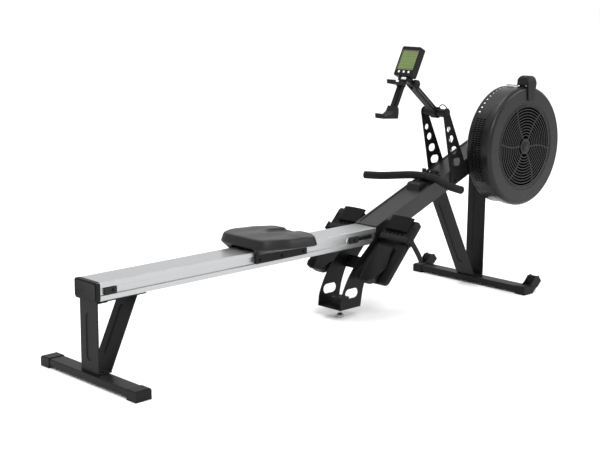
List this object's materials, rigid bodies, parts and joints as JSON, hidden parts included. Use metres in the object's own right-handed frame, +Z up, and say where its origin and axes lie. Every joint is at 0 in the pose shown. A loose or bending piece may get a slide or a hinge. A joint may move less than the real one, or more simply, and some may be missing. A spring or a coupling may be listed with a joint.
{
  "type": "air rowing machine",
  "caption": "Indoor rowing machine with a sliding seat on a straight rail, a caged fan on a rising beam, pull handle, footrests and a monitor on an arm.",
  "frame": {"origin": "middle of the footprint on the floor", "axes": "+X along the rail towards the fan, +Z up, -Y the side that carries the fan"},
  "size_m": [2.4666, 0.632, 1.0725],
  "materials": {
    "rail_metal": "satin anodised",
    "steel_black": "satin powder coat",
    "beam_black": "satin powder coat",
    "plastic_black": "fine moulded texture",
    "plastic_satin": "satin moulding",
    "rubber_black": "matt",
    "grip_foam": "matt, closed cell",
    "webbing": "woven",
    "seat_skin": "satin moulding",
    "zinc": "zinc plated",
    "lcd": "grey-green display",
    "key_white": "matt"
  },
  "bodies": {
    "frame": {"rail": "rail_metal", "rail_end_cap": "plastic_black", "rail_bumpers": "rubber_black", "rear_mount_plate": "steel_black", "rear_leg_column": "steel_black", "rear_leg_brace": "steel_black", "rear_base_bar": "steel_black", "rear_base_caps": "plastic_black", "front_base_bar": "steel_black", "front_base_caps": "plastic_black", "front_leg_column": "steel_black", "front_leg_brace": "steel_black", "main_beam": "beam_black", "support_bracket": "steel_black", "levelling_nut": "plastic_black", "footrest_brackets": "steel_black", "footboard_left": "plastic_black", "footboard_right": "plastic_black", "toe_bands": "rubber_black", "foot_straps": "webbing", "strap_buckles": "plastic_black", "handle_rest": "plastic_black", "pull_strap": "webbing", "monitor_posts": "steel_black", "post_cross_tube": "steel_black", "fan_back_shell": "plastic_satin", "fan_louvre_band": "plastic_satin", "fan_front_cover": "plastic_satin", "fan_grille": "plastic_satin", "axle_bearings": "zinc", "frame_fasteners": "zinc", "monitor_cable": "rubber_black"},
    "seat": {"seat_pad": "seat_skin", "seat_carriage": "steel_black", "carriage_screws": "zinc"},
    "rollers_rear": {"seat_rollers_rear": "rubber_black"},
    "rollers_front": {"seat_rollers_front": "rubber_black"},
    "handle": {"handle_bar": "zinc", "handle_grip": "grip_foam", "handle_clip": "plastic_black"},
    "spool": {"strap_spool": "plastic_black"},
    "fairlead": {"fairlead_roller": "zinc"},
    "fan": {"fan_wheel": "plastic_black", "fan_axle": "zinc"},
    "damper": {"damper_lever": "plastic_black"},
    "arm": {"monitor_arm": "plastic_black"},
    "knob": {"tilt_knob": "plastic_black"},
    "monitor": {"monitor_case": "plastic_black", "monitor_screen": "lcd", "phone_holder": "plastic_black"},
    "phone_clamp": {"phone_jaw": "plastic_black"},
    "key_1": {"monitor_key_1": "key_white"},
    "key_2": {"monitor_key_2": "key_white"},
    "key_3": {"monitor_key_3": "key_white"},
    "key_bar": {"monitor_key_bar": "key_white"},
    "heel_right": {"heel_cup_right": "plastic_black"},
    "heel_left": {"heel_cup_left": "plastic_black"},
    "wheel_right": {"transport_wheel_right": "rubber_black"},
    "wheel_left": {"transport_wheel_left": "rubber_black"},
    "foot": {"levelling_foot": "zinc"}
  },
  "joints": [
    {"name": "seat_slide", "type": "slide", "parent": "frame", "child": "seat", "axis": [1, 0, 0], "range_m": [-0.626, 0.256]},
    {"name": "rear_rollers_spin", "type": "hinge", "parent": "seat", "child": "rollers_rear", "pos_m": [-0.46775, 0, 0.3723], "axis": [0, 1, 0], "range_deg": [-2400, 980]},
    {"name": "front_rollers_spin", "type": "hinge", "parent": "seat", "child": "rollers_front", "pos_m": [-0.30775, 0, 0.3723], "axis": [0, 1, 0], "range_deg": [-2400, 980]},
    {"name": "handle_pull", "type": "slide", "parent": "frame", "child": "handle", "axis": [-1, 0, 0], "range_m": [0, 1.1], "deforming": ["pull_strap"]},
    {"name": "spool_spin", "type": "hinge", "parent": "frame", "child": "spool", "pos_m": [0.97125, 0, 0.628], "axis": [0, 1, 0], "range_deg": [-3160, 0]},
    {"name": "fairlead_spin", "type": "hinge", "parent": "frame", "child": "fairlead", "pos_m": [0.56725, 0, 0.5312], "axis": [0, 1, 0], "range_deg": [0, 7900]},
    {"name": "fan_spin", "type": "hinge", "parent": "frame", "child": "fan", "pos_m": [0.97125, 0, 0.628], "axis": [0, 1, 0], "continuous": true},
    {"name": "damper_turn", "type": "hinge", "parent": "frame", "child": "damper", "pos_m": [0.97125, 0, 0.628], "axis": [0, 1, 0], "range_deg": [-55, 0]},
    {"name": "arm_swing", "type": "hinge", "parent": "frame", "child": "arm", "pos_m": [0.57725, 0, 0.79], "axis": [0, 1, 0], "range_deg": [-20, 35]},
    {"name": "knob_turn", "type": "hinge", "parent": "arm", "child": "knob", "pos_m": [0.41121, 0, 0.92019], "axis": [0, 1, 0], "range_deg": [0, 180]},
    {"name": "monitor_tilt", "type": "hinge", "parent": "arm", "child": "monitor", "pos_m": [0.41121, 0, 0.92019], "axis": [0, 1, 0], "range_deg": [-15, 25]},
    {"name": "phone_clamp_slide", "type": "slide", "parent": "monitor", "child": "phone_clamp", "axis": [-0.4478, 0, -0.8942], "range_m": [0, 0.04], "stiffness_N_per_m": 80, "springref_m": -0.06},
    {"name": "key_1_press", "type": "slide", "parent": "monitor", "child": "key_1", "axis": [0.8942, 0, -0.4478], "range_m": [0, 0.001], "stiffness_N_per_m": 400},
    {"name": "key_2_press", "type": "slide", "parent": "monitor", "child": "key_2", "axis": [0.8942, 0, -0.4478], "range_m": [0, 0.001], "stiffness_N_per_m": 400},
    {"name": "key_3_press", "type": "slide", "parent": "monitor", "child": "key_3", "axis": [0.8942, 0, -0.4478], "range_m": [0, 0.001], "stiffness_N_per_m": 400},
    {"name": "key_bar_press", "type": "slide", "parent": "monitor", "child": "key_bar", "axis": [0.8942, 0, -0.4478], "range_m": [0, 0.001], "stiffness_N_per_m": 400},
    {"name": "heel_right_slide", "type": "slide", "parent": "frame", "child": "heel_right", "axis": [0.6794, 0, 0.7337], "range_m": [0, 0.05]},
    {"name": "heel_left_slide", "type": "slide", "parent": "frame", "child": "heel_left", "axis": [0.6794, 0, 0.7337], "range_m": [0, 0.05]},
    {"name": "wheel_right_spin", "type": "hinge", "parent": "frame", "child": "wheel_right", "pos_m": [0.92575, -0.2947, 0.045], "axis": [0, 1, 0], "continuous": true},
    {"name": "wheel_left_spin", "type": "hinge", "parent": "frame", "child": "wheel_left", "pos_m": [0.92575, 0.2947, 0.045], "axis": [0, 1, 0], "continuous": true},
    {"name": "foot_turn", "type": "hinge", "parent": "frame", "child": "foot", "pos_m": [0.00575, 0, 0.02], "axis": [0, 0, 1], "continuous": true}
  ],
  "couplings": [
    {"joint": "rear_rollers_spin", "follows": "seat_slide", "rad_per_m": 66.667},
    {"joint": "front_rollers_spin", "follows": "seat_slide", "rad_per_m": 66.667},
    {"joint": "spool_spin", "follows": "handle_pull", "rad_per_m": -50},
    {"joint": "fairlead_spin", "follows": "handle_pull", "rad_per_m": 125}
  ]
}
